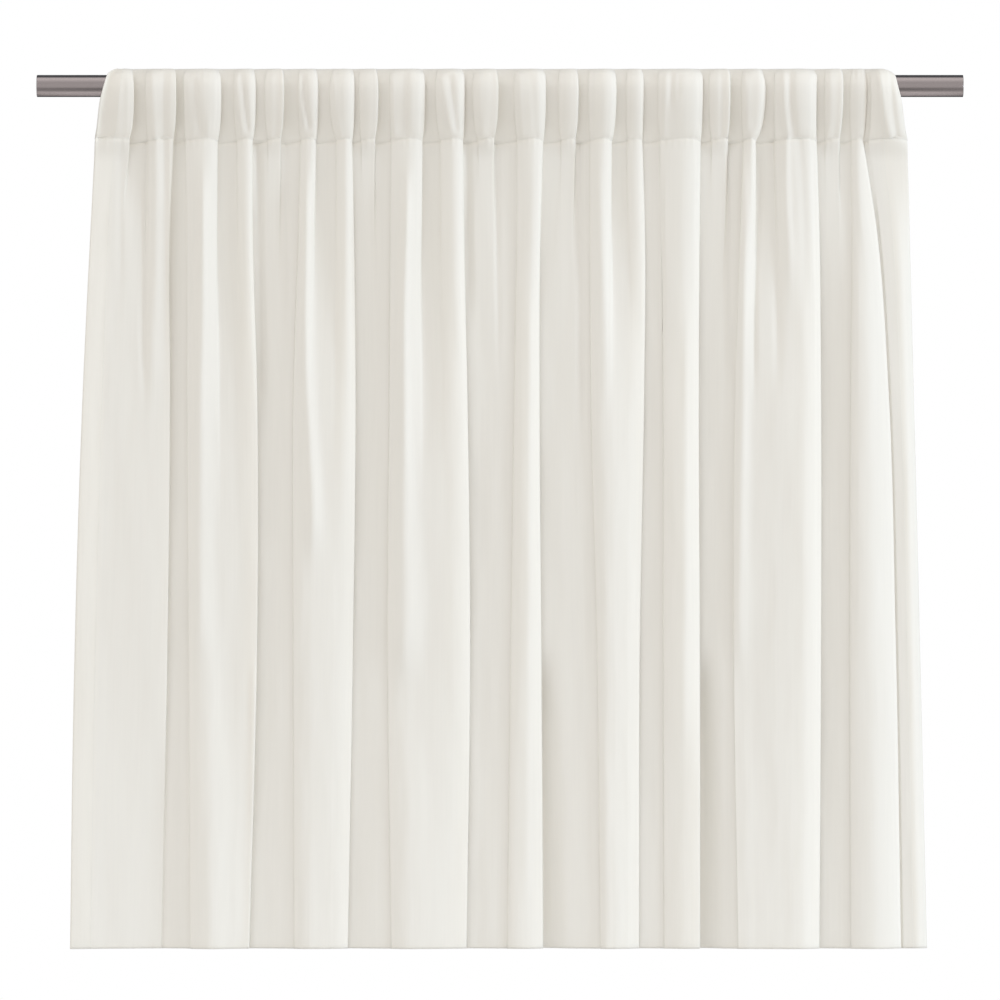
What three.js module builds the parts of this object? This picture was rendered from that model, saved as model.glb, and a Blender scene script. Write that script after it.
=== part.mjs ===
// A voile curtain gathered on a plain round rod.
// The panel is one cloth: a pocket turned over the rod and stitched below it, and the sheet that
// hangs from that seam. The pocket gathers into many small puffs, which the sheet carries down
// and lets run together into a few broad folds with flat recesses between them.
// Millimetres, +Z up, X along the rod, -Y towards the room. The origin is the middle of the rod's axis.
import * as THREE from "three";

// Driving dimensions
const ROD_DIAMETER = 25;
const ROD_LENGTH = 1052;
const ROD_SIDES = 32;
const CLOTH_THICKNESS = 1.2;
const TOP_Z = 20; // top of the pocket's crease
const SEAM_Z = -62; // the stitching that closes the pocket
const HEM_Z = -980; // the lower edge
const SEAT_GAP = 0.5; // left between the rod and the cloth that lies on it

const ROD_COLOUR = 0x8f8489;
const CLOTH_COLOUR = 0xecebe4;

// Heights at which the hanging sheet has a row of points, from the seam to the lower edge
const SHEET_HEIGHTS = [SEAM_Z, -86, -118, -165, -235, -330, -450, -610, -790, HEM_Z];

// The puffs of the pocket, from left to right. left and right are its widest edges, beside the
// rod, and seamLeft and seamRight are the same edges where the seam pinches them in. runsOut is
// how far below the seam the puff's own relief lasts.
const PUFFS = [
  { left: -453, right: -416, seamLeft: -460, seamRight: -421, runsOut: 450 },
  { left: -401, right: -385, seamLeft: -398, seamRight: -381, runsOut: 300 },
  { left: -382, right: -368, seamLeft: -379, seamRight: -368, runsOut: 250 },
  { left: -358, right: -342, seamLeft: -358, seamRight: -342, runsOut: 180 },
  { left: -340, right: -316, seamLeft: -340, seamRight: -321, runsOut: 360 },
  { left: -301, right: -277, seamLeft: -301, seamRight: -282, runsOut: 360 },
  { left: -265, right: -247, seamLeft: -262, seamRight: -252, runsOut: 190 },
  { left: -228, right: -207, seamLeft: -226, seamRight: -212, runsOut: 400 },
  { left: -190, right: -165, seamLeft: -182, seamRight: -169, runsOut: 330 },
  { left: -159, right: -139, seamLeft: -159, seamRight: -143, runsOut: 210 },
  { left: -124, right: -86, seamLeft: -119, seamRight: -90, runsOut: 560 },
  { left: -70, right: -40, seamLeft: -65, seamRight: -43, runsOut: 360 },
  { left: -30, right: -2, seamLeft: -22, seamRight: -9, runsOut: 330 },
  { left: 16, right: 52, seamLeft: 22, seamRight: 47, runsOut: 400 },
  { left: 66, right: 90, seamLeft: 70, seamRight: 84, runsOut: 150 },
  { left: 100, right: 132, seamLeft: 103, seamRight: 125, runsOut: 260 },
  { left: 143, right: 162, seamLeft: 144, seamRight: 161, runsOut: 260 },
  { left: 179, right: 198, seamLeft: 182, seamRight: 195, runsOut: 260 },
  { left: 200, right: 229, seamLeft: 202, seamRight: 227, runsOut: 260 },
  { left: 236, right: 260, seamLeft: 241, seamRight: 259, runsOut: 210 },
  { left: 276, right: 301, seamLeft: 282, seamRight: 295, runsOut: 380 },
  { left: 311, right: 328, seamLeft: 312, seamRight: 328, runsOut: 180 },
  { left: 331, right: 358, seamLeft: 331, seamRight: 360, runsOut: 200 },
  { left: 368, right: 387, seamLeft: 369, seamRight: 384, runsOut: 200 },
  { left: 400, right: 415, seamLeft: 404, seamRight: 417, runsOut: 160 },
  { left: 428, right: 442, seamLeft: 434, seamRight: 448, runsOut: 200 },
  { left: 444, right: 454, seamLeft: 450, seamRight: 461, runsOut: 300 },
];

// The broad folds of the sheet, from left to right. first and last are the puffs that run together
// into the fold. left and right give its two long edges at FOLD_HEIGHTS; at the seam they are the
// puffs' own. depth is how far it stands out, riseLeft and riseRight are the shares of that depth
// at its edges, and tuckLeft and tuckRight are how far its sides go back under those edges.
const FOLD_HEIGHTS = [-160, -349, -633, HEM_Z];
const FOLDS = [
  { first: 0, last: 2, depth: 10, riseLeft: 0.9, riseRight: 0.7, tuckLeft: 0, tuckRight: 12,
    left: [-465, -474, -483, -488], right: [-375, -375, -378, -385] },
  { first: 3, last: 5, depth: 18, riseLeft: 0.5, riseRight: 0.5, tuckLeft: 2, tuckRight: 20,
    left: [-356, -356, -354, -352], right: [-281, -276, -276, -285] },
  { first: 7, last: 8, depth: 17, riseLeft: 0.45, riseRight: 0.5, tuckLeft: 2, tuckRight: 20,
    left: [-229, -235, -235, -234], right: [-166, -164, -167, -173] },
  { first: 10, last: 11, depth: 18, riseLeft: 0.5, riseRight: 0.5, tuckLeft: 2, tuckRight: 20,
    left: [-125, -126, -128, -124], right: [-41, -37, -34, -38] },
  { first: 13, last: 13, depth: 15, riseLeft: 0.4, riseRight: 0.6, tuckLeft: 2, tuckRight: 15,
    left: [19, 16, 12, 8], right: [46, 45, 47, 49] },
  { first: 15, last: 16, depth: 17, riseLeft: 0.45, riseRight: 0.5, tuckLeft: 2, tuckRight: 18,
    left: [102, 103, 110, 114], right: [165, 164, 159, 158] },
  { first: 17, last: 18, depth: 16, riseLeft: 0.4, riseRight: 0.6, tuckLeft: 1, tuckRight: 16,
    left: [183, 185, 185, 186], right: [227, 226, 227, 227] },
  { first: 20, last: 22, depth: 19, riseLeft: 0.5, riseRight: 0.45, tuckLeft: 2, tuckRight: 20,
    left: [273, 267, 265, 270], right: [363, 365, 365, 363] },
  { first: 24, last: 24, depth: 14, riseLeft: 0.4, riseRight: 0.6, tuckLeft: 2, tuckRight: 3,
    left: [400, 398, 397, 398], right: [428, 442, 450, 456] },
  { first: 25, last: 26, depth: 6, riseLeft: 0.1, riseRight: 0.1, tuckLeft: -1, tuckRight: 0,
    left: [431, 444, 452, 458], right: [466, 471, 478, 486] },
];

// Shape of a puff across its width
const PUFF_DEPTH_SHARE = 0.46; // of its width
const PUFF_DEPTH_LEAST = 7.5;
const PUFF_DEPTH_MOST = 12.5;
const PUFF_TUCK = 2.4; // how far a puff's sides go back under its edges, where it is widest
const SEAM_SPREAD = 1; // how far its feet stand out past its edges at the seam
const EDGE_RISE = 0.5; // share of the depth that an edge stands at
const WIDE_PUFF = 22; // a puff as wide as this has two points on its crown, a narrower one has one
const WIDE_CROWN = [0.3, 0.7]; // where they are, as shares of the puff's width
const NARROW_CROWN = [0.5];
const TOUCHING_GAP = 4; // puffs nearer than this share one shallow crease
const SHARED_CREASE_RISE = 0.3;

// Where the sheet hangs, across the rod's axis
const SEAM_BACK_Y = 8; // the bottoms of the puffs' gaps at the seam
const SEAM_SWELL = 1.35; // the seam squeezes the puffs narrow, which makes them this much deeper
const RECESS_Y = 9; // the left ends of the recesses lower down
const RECESS_LIFT = 4; // how far a recess comes forward towards the fold on its right
const SETTLE_LENGTH = 240; // how far below the seam the recesses get there
const FULL_RISE_SHARE = 0.75; // how far a fold has risen a quarter of its width inside an edge

// The free side edges of the pocket lean in over the rod, and draw what is beside them with them
const LEAN_HEIGHTS = [-12, 12, TOP_Z];
const LEANS = [0, 7, 13];
const LEAN_REACH = 40;

const CREASE_SWAY = 7; // the top crease winds this far to each side of the rod's axis
const SEAT_RADIUS = (ROD_DIAMETER / 2 + SEAT_GAP + CLOTH_THICKNESS / 2) / Math.cos(Math.PI / 8);
const SHOULDER = SEAT_RADIUS * Math.SQRT1_2;
// The pocket round the rod, from the seam up its front and, after the crease, down its back: where
// the cloth would lie without puffs, the way in which a puff pushes it out, how much of the puff's
// depth it gets there, and how far its edges (open) and its feet (tuck) have gone from their
// places at the seam, 0, to those beside the rod, 1
const POCKET_FRONT = [
  { y: 1, z: -42, pushY: -1, pushZ: 0, swell: 1.3, open: 0.7, tuck: 0.2 },
  { y: -10.4, z: -18, pushY: -1, pushZ: 0, swell: 1.2, open: 1, tuck: 0.7 },
  { y: -SEAT_RADIUS, z: 1, pushY: -1, pushZ: 0, swell: 1, open: 1, tuck: 1 },
  { y: -SHOULDER, z: SHOULDER, pushY: -0.8, pushZ: 0.35, swell: 1, open: 1, tuck: 0.2 },
];
const POCKET_BACK = [
  { y: SHOULDER, z: SHOULDER, pushY: 0.8, pushZ: 0.35, swell: 1, open: 1, tuck: 0.2 },
  { y: SEAT_RADIUS, z: 0, pushY: 1, pushZ: 0, swell: 1, open: 1, tuck: 1 },
  { y: 10.5, z: -20, pushY: 1, pushZ: 0, swell: 1.2, open: 1, tuck: 0.7 },
  { y: 5, z: -42, pushY: 1, pushZ: 0, swell: 1.1, open: 0.6, tuck: 0.2 },
];

const mix = (a, b, t) => a + (b - a) * t;
const clamp = (v, low, high) => Math.min(Math.max(v, low), high);
const ease = (t) => {
  const s = clamp(t, 0, 1);
  return s * s * (3 - 2 * s);
};

// The value at x of the straight lines through the points (xs[i], ys[i]), with xs rising or falling
function along(x, xs, ys) {
  const falling = xs[0] > xs[xs.length - 1];
  const past = (i) => (falling ? x >= xs[i] : x <= xs[i]);
  if (past(0)) return ys[0];
  for (let i = 1; i < xs.length; i++) {
    if (past(i)) return mix(ys[i - 1], ys[i], (x - xs[i - 1]) / (xs[i] - xs[i - 1]));
  }
  return ys[ys.length - 1];
}

// The columns of points across the cloth. Each belongs to a puff, at a share `across` of its
// width and `rise` of its depth high. A foot's `side` is the side of the puff that it is on,
// -1 or 1, and `shift` moves the crease that two touching puffs share into their gap.
function makeColumns() {
  const columns = [];
  const add = (puff, across, rise, side = 0, shift = 0) => columns.push({ puff, across, rise, side, shift });
  PUFFS.forEach((p, i) => {
    const toLast = i > 0 ? p.left - PUFFS[i - 1].right : 0;
    const toNext = i < PUFFS.length - 1 ? PUFFS[i + 1].left - p.right : 0;
    if (toLast >= TOUCHING_GAP) add(i, 0, 0, -1);
    if (toLast >= TOUCHING_GAP || i === 0) add(i, 0, EDGE_RISE);
    const crown = p.right - p.left >= WIDE_PUFF ? WIDE_CROWN : NARROW_CROWN;
    crown.forEach((across) => add(i, across, 1));
    if (toNext >= TOUCHING_GAP || i === PUFFS.length - 1) add(i, 1, EDGE_RISE);
    if (toNext >= TOUCHING_GAP) add(i, 1, 0, 1);
    else if (i < PUFFS.length - 1) add(i, 1, SHARED_CREASE_RISE, 0, toNext / 2);
  });
  return columns;
}

const COLUMNS = makeColumns();

function puffDepth(puff) {
  const { left, right } = PUFFS[puff];
  return clamp(PUFF_DEPTH_SHARE * (right - left), PUFF_DEPTH_LEAST, PUFF_DEPTH_MOST);
}

// X of a column in the pocket: open and tuck are 0 at the seam's pinch and 1 beside the rod
function pocketX(column, z, open, tuck) {
  const p = PUFFS[column.puff];
  const left = mix(p.seamLeft, p.left, open);
  const right = mix(p.seamRight, p.right, open);
  const footOut = mix(SEAM_SPREAD, -PUFF_TUCK, tuck);
  const x = mix(left, right, column.across) + column.shift + column.side * footOut;
  const lean = along(z, LEAN_HEIGHTS, LEANS);
  const fromLeft = x - PUFFS[0].left;
  const fromRight = PUFFS[PUFFS.length - 1].right - x;
  return x + lean * (clamp(1 - fromLeft / LEAN_REACH, 0, 1) - clamp(1 - fromRight / LEAN_REACH, 0, 1));
}

// Marks each column with its place in the sheet: `fold` and its `share` of the way across that
// fold's front, or the recess after fold `recessAfter` and its share of the way across that
function placeInFolds() {
  const seamX = COLUMNS.map((column) => pocketX(column, SEAM_Z, 0, 0));
  const firstOf = (fold) => COLUMNS.findIndex((c) => c.puff === fold.first && c.rise === EDGE_RISE);
  const lastOf = (fold) => COLUMNS.findLastIndex((c) => c.puff === fold.last && c.rise === EDGE_RISE);
  const place = (from, to, belonging) => {
    for (let i = from; i <= to; i++) {
      const byCount = (i - from) / (to - from);
      const byPlace = (seamX[i] - seamX[from]) / (seamX[to] - seamX[from]);
      Object.assign(COLUMNS[i], belonging, { share: (byCount + byPlace) / 2 });
    }
  };
  FOLDS.forEach((fold, f) => {
    place(firstOf(fold), lastOf(fold), { fold: f });
    if (f < FOLDS.length - 1) place(lastOf(fold) + 1, firstOf(FOLDS[f + 1]) - 1, { recessAfter: f });
  });
}

placeInFolds();

// X of a fold's long edge at height z
function foldEdge(fold, side, z) {
  const seam = side === "left" ? PUFFS[fold.first].seamLeft : PUFFS[fold.last].seamRight;
  return along(z, [SEAM_Z, ...FOLD_HEIGHTS], [seam, ...fold[side]]);
}

// How far out the front of a fold stands, at a share of the way across it
function foldRise(fold, share) {
  const quarter = (edge) => mix(edge, 1, FULL_RISE_SHARE);
  const rises = [fold.riseLeft, quarter(fold.riseLeft), 1, quarter(fold.riseRight), fold.riseRight];
  return fold.depth * along(share, [0, 0.25, 0.5, 0.75, 1], rises);
}

// A point of the hanging sheet's middle surface
function sheetPoint(column, z) {
  const below = SEAM_Z - z;
  const merged = ease(below / PUFFS[column.puff].runsOut);
  const puffRise = SEAM_SWELL * puffDepth(column.puff) * column.rise;
  const backY = mix(SEAM_BACK_Y, RECESS_Y, ease(below / SETTLE_LENGTH));
  let x;
  let rise;
  if (column.fold !== undefined) {
    const fold = FOLDS[column.fold];
    x = mix(foldEdge(fold, "left", z), foldEdge(fold, "right", z), column.share);
    rise = foldRise(fold, column.share);
  } else {
    const before = FOLDS[column.recessAfter];
    const after = FOLDS[column.recessAfter + 1];
    const tucked = ease(below / SETTLE_LENGTH);
    x = mix(foldEdge(before, "right", z), foldEdge(after, "left", z), column.share);
    if (column.share === 0) x -= mix(-SEAM_SPREAD, before.tuckRight, tucked);
    if (column.share === 1) x += mix(-SEAM_SPREAD, after.tuckLeft, tucked);
    rise = RECESS_LIFT * column.share;
  }
  const onEdge = column.share === 0 || column.share === 1;
  const atSeam = pocketX(column, SEAM_Z, 0, 0);
  const y = backY - mix(puffRise, rise, merged);
  return new THREE.Vector3(onEdge ? x : mix(atSeam, x, merged), y, z);
}

// A point of the pocket's middle surface; a puff of the front is a hollow of the back
function pocketPoint(column, station, front) {
  const bulge = front ? column.rise : 1 - column.rise;
  const out = puffDepth(column.puff) * bulge * station.swell;
  const z = station.z + out * station.pushZ;
  const x = pocketX(column, z, station.open, station.tuck);
  return new THREE.Vector3(x, station.y + out * station.pushY, z);
}

function creasePoint(column) {
  const z = TOP_Z - CLOTH_THICKNESS / 2;
  return new THREE.Vector3(pocketX(column, z, 1, 0), mix(CREASE_SWAY, -CREASE_SWAY, column.rise), z);
}

// Each column's points from the lower edge up to the seam, up the front of the pocket, over the
// crease and down its back; SEAM_ROW is the seam's place in the list
const SEAM_ROW = SHEET_HEIGHTS.length - 1;

function middleSurface() {
  return COLUMNS.map((column) => [
    ...SHEET_HEIGHTS.toReversed().map((z) => sheetPoint(column, z)),
    ...POCKET_FRONT.map((station) => pocketPoint(column, station, true)),
    creasePoint(column),
    ...POCKET_BACK.map((station) => pocketPoint(column, station, false)),
  ]);
}

// How far and which way to step from a middle point to the outer face: the mean of the normals
// of the quads around it, made longer at a sharp bend so that the cloth keeps its thickness
const LONGEST_MITRE = 1.35;

function outwardSteps(grid) {
  const last = [grid.length - 1, grid[0].length - 1];
  const quadNormal = (i, k) => {
    const across = grid[i + 1][k].clone().add(grid[i + 1][k + 1]).sub(grid[i][k]).sub(grid[i][k + 1]);
    const up = grid[i][k + 1].clone().add(grid[i + 1][k + 1]).sub(grid[i][k]).sub(grid[i + 1][k]);
    return across.cross(up).normalize();
  };
  return grid.map((column, i) =>
    column.map((_, k) => {
      const around = [];
      for (const a of [i - 1, i]) {
        for (const b of [k - 1, k]) {
          if (a >= 0 && b >= 0 && a < last[0] && b < last[1]) around.push(quadNormal(a, b));
        }
      }
      const mean = new THREE.Vector3();
      around.forEach((n) => mean.add(n));
      mean.normalize();
      const least = Math.min(...around.map((n) => n.dot(mean)));
      return mean.multiplyScalar(1 / Math.max(least, 1 / LONGEST_MITRE));
    }),
  );
}

// The cloth as one closed body: its faces are rings of points, one point of each ring per column
function clothGeometry() {
  const grid = middleSurface();
  const steps = outwardSteps(grid);
  const half = CLOTH_THICKNESS / 2;
  const topRow = grid[0].length;
  const positions = [];
  const addRow = (pointOf) => {
    const start = positions.length / 3;
    grid.forEach((_, i) => positions.push(...pointOf(i).toArray()));
    return start;
  };
  const offset = (k, distance) => addRow((i) => grid[i][k].clone().addScaledVector(steps[i][k], distance));

  const outer = [];
  const inner = [];
  for (let k = 0; k < topRow; k++) {
    outer.push(offset(k, half));
    inner.push(offset(k, -half));
  }
  // the pocket's back layer ends on the back of the seam
  const backEnd = offset(SEAM_ROW, -half - CLOTH_THICKNESS);

  const triangles = [];
  const width = grid.length;
  const quad = (a, b, c, d) => triangles.push(a, b, c, a, c, d);
  // both faces of the cloth are split along the same diagonals
  const outerStrip = (low, high) => {
    for (let i = 0; i < width - 1; i++) quad(low + i, low + i + 1, high + i + 1, high + i);
  };
  const innerStrip = (low, high) => {
    for (let i = 0; i < width - 1; i++) quad(high + i, low + i, low + i + 1, high + i + 1);
  };
  // the skin: up the front, over the pocket and down the back of the sheet
  for (let k = 0; k < topRow - 1; k++) outerStrip(outer[k], outer[k + 1]);
  outerStrip(outer[topRow - 1], backEnd);
  innerStrip(backEnd, inner[SEAM_ROW - 1]);
  for (let k = SEAM_ROW - 1; k > 0; k--) innerStrip(inner[k], inner[k - 1]);
  outerStrip(inner[0], outer[0]);
  // the tube inside the pocket
  for (let k = topRow - 1; k > SEAM_ROW; k--) innerStrip(inner[k], inner[k - 1]);
  innerStrip(inner[SEAM_ROW], inner[topRow - 1]);

  // the two side edges
  const edge = (i, turn) => {
    const side = (...corners) => {
      const c = corners.map((row) => row + i);
      if (turn) c.reverse();
      for (let n = 1; n < c.length - 1; n++) triangles.push(c[0], c[n], c[n + 1]);
    };
    for (let k = 0; k < topRow - 1; k++) side(outer[k], outer[k + 1], inner[k + 1], inner[k]);
    side(outer[topRow - 1], backEnd, inner[SEAM_ROW], inner[topRow - 1]);
    side(inner[SEAM_ROW], backEnd, inner[SEAM_ROW - 1]);
  };
  edge(0, false);
  edge(width - 1, true);

  const geometry = new THREE.BufferGeometry();
  geometry.setAttribute("position", new THREE.Float32BufferAttribute(positions, 3));
  geometry.setIndex(triangles);
  geometry.computeVertexNormals();
  return geometry;
}

function makeCurtain() {
  const voile = new THREE.MeshStandardMaterial({
    color: CLOTH_COLOUR,
    roughness: 0.9,
    metalness: 0,
    side: THREE.DoubleSide,
  });
  const curtain = new THREE.Mesh(clothGeometry(), voile);
  curtain.name = "curtain_panel";
  return curtain;
}

function makeRod() {
  const satinMetal = new THREE.MeshStandardMaterial({ color: ROD_COLOUR, roughness: 0.4, metalness: 0.8 });
  const rod = new THREE.Mesh(
    new THREE.CylinderGeometry(ROD_DIAMETER / 2, ROD_DIAMETER / 2, ROD_LENGTH, ROD_SIDES),
    satinMetal,
  );
  rod.name = "rod";
  rod.rotation.z = Math.PI / 2;
  return rod;
}

const curtainOnRod = new THREE.Group();
curtainOnRod.name = "voile_curtain_on_a_rod";
curtainOnRod.add(makeCurtain(), makeRod());

export default curtainOnRod;
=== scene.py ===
"""Dresses a voile curtain that is gathered on a rod.

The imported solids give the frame. The cloth is made again as one fine sheet in the same puffs and
folds, with its softer creases, its hems and its stitching, and the rod as a smooth metal bar.
The tables are in millimetres, +Z up, X along the rod, -Y towards the room, from the middle of the
rod's axis.
"""
import math
from collections import namedtuple

import bpy
import numpy as np
from bpy.props import FloatProperty, FloatVectorProperty, PointerProperty
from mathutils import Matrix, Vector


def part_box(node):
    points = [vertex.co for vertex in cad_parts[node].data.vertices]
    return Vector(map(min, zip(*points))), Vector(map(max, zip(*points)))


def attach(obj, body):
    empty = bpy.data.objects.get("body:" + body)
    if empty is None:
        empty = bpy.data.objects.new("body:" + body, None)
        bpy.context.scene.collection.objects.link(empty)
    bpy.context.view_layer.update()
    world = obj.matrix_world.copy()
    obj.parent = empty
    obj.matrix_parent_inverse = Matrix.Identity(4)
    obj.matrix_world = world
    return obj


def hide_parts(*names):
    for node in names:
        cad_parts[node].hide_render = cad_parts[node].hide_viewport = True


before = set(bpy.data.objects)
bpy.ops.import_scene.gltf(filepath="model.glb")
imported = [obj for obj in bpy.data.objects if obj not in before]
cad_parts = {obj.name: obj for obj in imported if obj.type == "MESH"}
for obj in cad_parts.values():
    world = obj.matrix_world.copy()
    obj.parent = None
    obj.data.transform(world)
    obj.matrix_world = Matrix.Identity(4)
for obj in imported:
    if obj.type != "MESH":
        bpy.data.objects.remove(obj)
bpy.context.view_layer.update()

bl_info = {
    "name": "Voile Curtain on a Rod",
    "version": (1, 0, 0),
    "blender": (4, 5, 0),
    "location": "View3D > Sidebar > Curtain",
    "description": "Makes a gathered voile panel, its stitching, its rod and a plain studio",
    "category": "Object",
}

MM = 0.001
TINY = 1e-9


def linear(code):
    """The linear colour of an sRGB hex code."""
    shares = [int(code[i:i + 2], 16) / 255 for i in (1, 3, 5)]
    return [s / 12.92 if s <= 0.04045 else ((s + 0.055) / 1.055) ** 2.4 for s in shares]


class ClothSettings(bpy.types.PropertyGroup):
    """Sizes and colours of the voile panel."""

    side_hem: FloatProperty(
        name="Side hem", description="Width of the turned side hems", default=25 * MM,
        unit="LENGTH")
    lower_hem: FloatProperty(
        name="Lower hem", description="Depth of the turned lower hem", default=6 * MM,
        unit="LENGTH")
    thread_pitch: FloatProperty(
        name="Thread pitch", description="Distance between two threads of the weave",
        default=0.9 * MM, unit="LENGTH")
    through: FloatProperty(
        name="Light let through", description="Share of the light that passes the cloth",
        default=0.2, min=0, max=1, subtype="FACTOR")
    colour: FloatVectorProperty(
        name="Cloth colour", description="Colour of the voile in front light",
        default=linear("#F7F2E8"), subtype="COLOR")
    glow: FloatVectorProperty(
        name="Colour against light", description="Colour of the light that passes the cloth",
        default=linear("#F5F5F4"), subtype="COLOR")


class StitchSettings(bpy.types.PropertyGroup):
    """Sizes and colour of the sewing thread."""

    length: FloatProperty(
        name="Stitch length", description="Length of one stitch", default=2.6 * MM, unit="LENGTH")
    pitch: FloatProperty(
        name="Stitch pitch", description="Distance from one stitch to the next", default=3.2 * MM,
        unit="LENGTH")
    thickness: FloatProperty(
        name="Thread thickness", description="Diameter of the sewing thread", default=0.4 * MM,
        unit="LENGTH")
    colour: FloatVectorProperty(
        name="Thread colour", description="Colour of the sewing thread", default=linear("#EFEEE8"),
        subtype="COLOR")


class RodSettings(bpy.types.PropertyGroup):
    """Sizes and colour of the rod."""

    chamfer: FloatProperty(
        name="End chamfer", description="Width of the chamfer on the rod's cut ends",
        default=0.6 * MM, unit="LENGTH")
    colour: FloatVectorProperty(
        name="Metal colour", description="Colour that the metal reflects",
        default=linear("#958C8B"), subtype="COLOR")


class StudioSettings(bpy.types.PropertyGroup):
    """The floor, the lights and the camera."""

    floor_gap: FloatProperty(
        name="Floor gap", description="From the lower hem down to the floor", default=150 * MM,
        unit="LENGTH")
    view_width: FloatProperty(
        name="View width", description="Width of the view in the curtain's plane",
        default=1136 * MM, unit="LENGTH")
    view_height: FloatProperty(
        name="View height", description="Height of the view's centre from the rod",
        default=-470.3 * MM, unit="LENGTH")
    camera_distance: FloatProperty(
        name="Camera distance", description="From the camera to the curtain", default=9,
        unit="LENGTH")


# The heights of the panel
TOP_Z = 20
SEAM_Z = -62
HEM_Z = -980

# The puffs of the pocket, from left to right. left and right are a puff's widest edges, beside the
# rod, and seam_left and seam_right the same edges where the seam pinches them in. runs_out is how
# far below the seam the puff's own relief runs out, keeps is the share of it that stays lower down,
# swell is how much of it shows just below the seam, and edge is the share of the puff's depth at
# its right edge: a low one rolls over to the right, a high one stands up.
Puff = namedtuple("Puff", "left right seam_left seam_right runs_out keeps swell edge",
                  defaults=(0.04, 1.15, 0.36))
PUFFS = [
    Puff(-456, -415, -460, -421, 110, 0, 0.2, 0.8),
    Puff(-402, -367, -400, -371, 260, 0.1, 0.9, 0.95),
    Puff(-359, -316, -358, -321, 450),
    Puff(-302, -277, -299, -281, 360),
    Puff(-267, -245, -264, -249, 230, 0, 0.14, 1.1),
    Puff(-229, -206, -227, -209, 330),
    Puff(-193, -165, -186, -168, 420),
    Puff(-160, -138, -158, -142, 220, 0, 0.14, 0.95),
    Puff(-125, -85, -124, -88, 450, 0.03),
    Puff(-73, -40, -68, -42, 440),
    Puff(-31, -2, -25, -7, 200, 0, 0.12, 0.9),
    Puff(16, 52, 19, 49, 400, 0.05, 1.1),
    Puff(66, 89, 69, 86, 210, 0, 0.16, 0.85),
    Puff(100, 132, 102, 127, 330, 0.02),
    Puff(143, 163, 144, 162, 340, 0.05, 1.1),
    Puff(179, 230, 181, 228, 420, 0.1, 1.1),
    Puff(237, 261, 240, 259, 230, 0, 0.16, 1.1),
    Puff(274, 301, 277, 291, 260, 0.03),
    Puff(311, 359, 312, 360, 330, 0.05, 1.1),
    Puff(368, 389, 369, 386, 170, 0, 0.09, 0.95),
    Puff(397, 416, 399, 413, 220, 0.05),
    Puff(421, 458, 418, 463, 140, 0.03, 0.2, 0.55),
]

# The broad folds of the sheet, from left to right. first and last are the puffs that run together
# into the fold. left and right give its long edges at FOLD_HEIGHTS; at the seam they are the
# puffs' own. upper and lower are its sections above and below the heights in change, which most
# folds share. In a section, depth is how far the fold stands out at its crest, which is at the
# share crest of its width, rise_left and rise_right are the shares of that depth at its edges, and
# tuck_left and tuck_right are how far its sides go back under those edges.
FOLD_HEIGHTS = [-160, -349, -633, HEM_Z]
Section = namedtuple("Section", "depth crest rise_left rise_right tuck_left tuck_right")
Fold = namedtuple("Fold", "first last upper lower left right change", defaults=((-620, -850),))
FOLDS = [
    Fold(0, 1, Section(7, 0.7, 0.5, 0.7, 0, 4), Section(10, 0.1, 1, 0.12, 0, 0),
         [-465, -474, -483, -488], [-375, -375, -378, -385]),
    Fold(2, 3, Section(8, 0.97, 0.55, 1, 1, 12), Section(14, 0.35, 0.7, 0.4, 1, 8),
         [-356, -356, -354, -352], [-281, -276, -276, -285]),
    Fold(5, 6, Section(15, 0.75, 0.6, 0.5, 1, 18), Section(16, 0.35, 0.65, 0.35, 1, 12),
         [-229, -235, -235, -234], [-166, -164, -167, -173], (-380, -560)),
    Fold(8, 9, Section(14, 0.78, 0.6, 0.5, 1, 18), Section(17, 0.25, 0.7, 0.3, 1, 15),
         [-125, -126, -128, -124], [-41, -37, -34, -38]),
    Fold(11, 11, Section(15, 0.46, 0.6, 0.4, 1, 15), Section(13, 0.25, 0.7, 0.5, 1, 8),
         [19, 16, 12, 8], [46, 45, 47, 49]),
    Fold(13, 14, Section(17, 0.32, 0.65, 0.3, 1, 18), Section(16, 0.2, 0.7, 0.3, 1, 16),
         [102, 103, 110, 114], [165, 164, 159, 158]),
    Fold(15, 15, Section(16, 0.55, 0.6, 0.5, 1, 18), Section(13, 0.9, 0.5, 0.98, 1, 14),
         [183, 185, 185, 186], [227, 226, 227, 227], (-640, -820)),
    Fold(17, 18, Section(17, 0.8, 0.54, 0.35, 1, 18), Section(17, 0.7, 0.75, 0.4, 1, 18),
         [273, 267, 265, 270], [363, 365, 365, 363]),
    Fold(20, 20, Section(16, 0.33, 0.6, 0.14, 1, 1), Section(16, 0.45, 0.6, 0.2, 1, 1),
         [400, 398, 397, 398], [428, 442, 450, 456], (-520, -750)),
    Fold(21, 21, Section(3, 0.52, 0.6, -2, 0, 0), Section(3, 0.5, 0.6, -2, 0, 0),
         [431, 444, 452, 458], [466, 471, 478, 486]),
]

# Shape of a puff across its width: how far it stands out at those shares of it, as shares of its
# depth. The last two follow from its edge.
PUFF_SHARES = [0, 0.2, 0.45, 0.64, 0.84, 1]
PUFF_RISES = [0.54, 0.76, 0.93, 1]
SHOULDER_SHARE = 0.25  # of the fall to its edge, at its last share but one
WIDE_CROWN = (0.1, 0.35, 0.62, 0.84, 0.94)  # the shares at which a wide puff's columns stand
NARROW_CROWN = (0.15, 0.5, 0.8)
WIDE_PUFF = 26
PUFF_DEPTH_SHARE = 0.34  # of its width
PUFF_DEPTH_RANGE = (6, 11)
LEAST_WIDTH = 2.5  # between two columns of a fold or a recess
TOUCHING_GAP = 4  # puffs that are nearer share one crease
SHARED_CREASE_RISE = 0.3
LEFT_FOOT_RISE = 0.4
MEAN_RISE = 0.6
FREE_EDGE_RISE = 0.9  # of the free side edge on the left
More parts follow.
